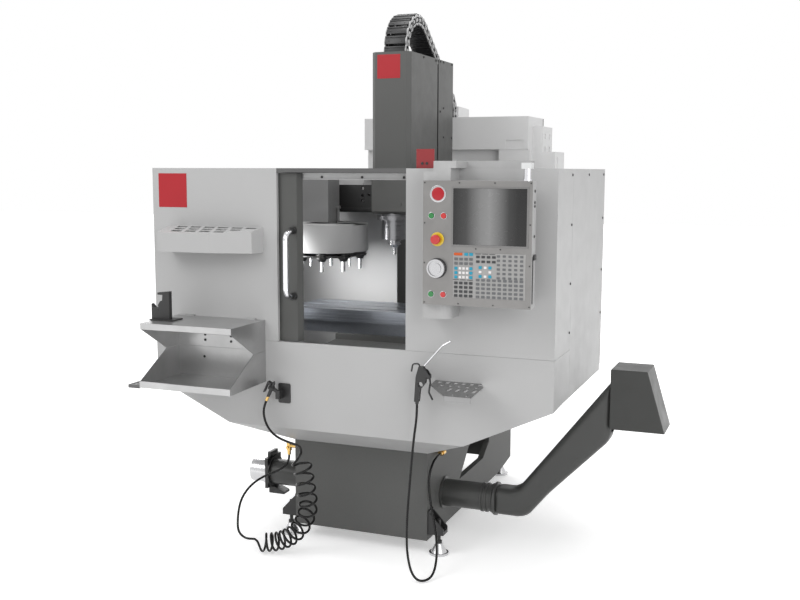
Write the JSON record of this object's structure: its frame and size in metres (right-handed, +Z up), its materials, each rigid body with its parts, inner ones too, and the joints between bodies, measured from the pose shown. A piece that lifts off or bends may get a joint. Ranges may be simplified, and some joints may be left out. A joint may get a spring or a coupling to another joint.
{
  "type": "cnc milling machine",
  "caption": "Vertical milling machine with enclosure, sliding door, moving table and head, tool carousel, swivelling control pendant and chip auger.",
  "frame": {"origin": "on the floor, under the middle of the machine's bounding box without its hoses", "axes": "+Z up, +X to the operator's right, +Y to the machine's back"},
  "size_m": [2.3546, 2.0774, 2.565],
  "materials": {
    "painted_white": "satin powder coat",
    "painted_grey": "satin paint",
    "cast_grey": "painted casting",
    "black_metal": "matt black",
    "steel": "machined",
    "light_steel": "ground",
    "chrome": "polished",
    "alloy": "turned",
    "brass": "bright",
    "rubber": "matt",
    "black_plastic": "fine texture",
    "light_plastic": "fine texture",
    "keypad": "membrane",
    "screen": "gloss",
    "window": "clear",
    "red_plastic": "gloss",
    "green_plastic": "gloss",
    "lamp": "frosted"
  },
  "bodies": {
    "machine": {"base_casting": "cast_grey", "levelling_feet": "black_metal", "column_casting": "cast_grey", "column_cover": "painted_grey", "chip_pan": "painted_white", "front_apron": "painted_white", "front_left_panel": "painted_white", "front_right_panel": "painted_white", "enclosure_walls": "painted_white", "door_header": "painted_white", "collet_rack": "painted_white", "tool_tray": "painted_white", "holder_stand": "black_metal", "tool_shelf": "painted_grey", "nozzle_holder": "black_metal", "auger_tube": "painted_grey", "auger_motor": "alloy", "chip_chute": "painted_grey", "control_cabinet": "painted_white", "pendant_beam": "painted_white", "air_fittings": "brass", "changer_beam": "black_metal", "blow_nozzle": "chrome", "air_gun": "black_metal", "hose_lead": "rubber", "hose_coil": "rubber", "hose_tail": "rubber", "gun_hose": "rubber", "cable_chain": "black_plastic"},
    "door": {"door_frame": "painted_grey", "door_window": "window", "door_handle": "chrome"},
    "saddle": {"saddle": "cast_grey"},
    "table": {"table": "light_steel"},
    "z_screw": {"z_screw": "steel"},
    "head": {"head_casting": "painted_grey", "spindle_housing": "steel", "spindle_motor": "alloy", "head_cover": "painted_grey"},
    "spindle": {"spindle_shaft": "steel", "spindle_tool": "steel"},
    "changer": {"changer_housing": "painted_white", "changer_cover": "painted_white"},
    "shutter": {"changer_shutter": "painted_white"},
    "carousel": {"carousel_disc": "alloy", "carousel_tools": "steel"},
    "pendant": {"pendant_case": "painted_white", "pendant_screen": "screen", "pendant_keypad": "keypad", "status_lamp": "lamp"},
    "power_on": {"power_on": "green_plastic"},
    "power_off": {"power_off": "red_plastic"},
    "cycle_start": {"cycle_start": "green_plastic"},
    "feed_hold": {"feed_hold": "red_plastic"},
    "estop": {"estop_button": "red_plastic"},
    "jog": {"jog_handle": "black_plastic"},
    "cabinet_door": {"cabinet_door": "painted_grey"},
    "auger": {"auger_screw": "steel"},
    "gun_trigger": {"air_gun_lever": "chrome"},
    "nozzle_trigger": {"nozzle_lever": "chrome"}
  },
  "joints": [
    {"name": "door_slide", "type": "slide", "parent": "machine", "child": "door", "axis": [1, 0, 0], "range_m": [0, 0.527]},
    {"name": "saddle_slide", "type": "slide", "parent": "machine", "child": "saddle", "axis": [0, 1, 0], "range_m": [-0.178, 0.178]},
    {"name": "table_slide", "type": "slide", "parent": "saddle", "child": "table", "axis": [1, 0, 0], "range_m": [-0.254, 0.254]},
    {"name": "head_slide", "type": "slide", "parent": "machine", "child": "head", "axis": [0, 0, 1], "range_m": [-0.25, 0.106], "deforming": ["cable_chain"]},
    {"name": "z_screw_spin", "type": "hinge", "parent": "machine", "child": "z_screw", "pos_m": [-0.20375, 0.36935, 1.5], "axis": [0, 0, 1], "range_deg": [-9100, 3900]},
    {"name": "spindle_spin", "type": "hinge", "parent": "head", "child": "spindle", "pos_m": [-0.20375, -0.06865, 1.44], "axis": [0, 0, 1], "continuous": true},
    {"name": "changer_slide", "type": "slide", "parent": "machine", "child": "changer", "axis": [1, 0, 0], "range_m": [0, 0.202]},
    {"name": "shutter_turn", "type": "hinge", "parent": "changer", "child": "shutter", "pos_m": [-0.58075, -0.06865, 1.512], "axis": [0, 0, 1], "range_deg": [-104.5, 0]},
    {"name": "carousel_spin", "type": "hinge", "parent": "changer", "child": "carousel", "pos_m": [-0.58075, -0.06865, 1.371], "axis": [0, 0, 1], "continuous": true},
    {"name": "pendant_swing", "type": "hinge", "parent": "machine", "child": "pendant", "pos_m": [0.26925, -0.80865, 1.74], "axis": [0, 0, 1], "range_deg": [-90, 0]},
    {"name": "power_on_press", "type": "slide", "parent": "pendant", "child": "power_on", "axis": [0, 1, 0], "range_m": [0, 0.004], "stiffness_N_per_m": 400},
    {"name": "power_off_press", "type": "slide", "parent": "pendant", "child": "power_off", "axis": [0, 1, 0], "range_m": [0, 0.004], "stiffness_N_per_m": 400},
    {"name": "cycle_start_press", "type": "slide", "parent": "pendant", "child": "cycle_start", "axis": [0, 1, 0], "range_m": [0, 0.004], "stiffness_N_per_m": 400},
    {"name": "feed_hold_press", "type": "slide", "parent": "pendant", "child": "feed_hold", "axis": [0, 1, 0], "range_m": [0, 0.004], "stiffness_N_per_m": 400},
    {"name": "estop_press", "type": "slide", "parent": "pendant", "child": "estop", "axis": [0, 1, 0], "range_m": [0, 0.006], "stiffness_N_per_m": 800},
    {"name": "jog_turn", "type": "hinge", "parent": "pendant", "child": "jog", "pos_m": [0.30625, -0.86865, 1.382], "axis": [0, 1, 0], "continuous": true},
    {"name": "cabinet_door_swing", "type": "hinge", "parent": "machine", "child": "cabinet_door", "pos_m": [-0.69375, 1.02465, 1.4], "axis": [0, 0, 1], "range_deg": [0, 110]},
    {"name": "auger_spin", "type": "hinge", "parent": "machine", "child": "auger", "pos_m": [-0.20375, -0.26865, 0.235], "axis": [1, 0, 0], "continuous": true},
    {"name": "gun_trigger", "type": "hinge", "parent": "machine", "child": "gun_trigger", "pos_m": [0.22625, -0.78865, 0.932], "axis": [0, 1, 0], "range_deg": [0, 10], "stiffness_Nm_per_rad": 1.5},
    {"name": "nozzle_trigger", "type": "hinge", "parent": "machine", "child": "nozzle_trigger", "pos_m": [-0.53283, -0.75865, 0.80968], "axis": [0, 1, 0], "range_deg": [-10, 0], "stiffness_Nm_per_rad": 0.8}
  ],
  "couplings": [
    {"joint": "z_screw_spin", "follows": "head_slide", "rad_per_m": 628.32},
    {"joint": "shutter_turn", "follows": "changer_slide", "rad_per_m": -8.9858}
  ]
}
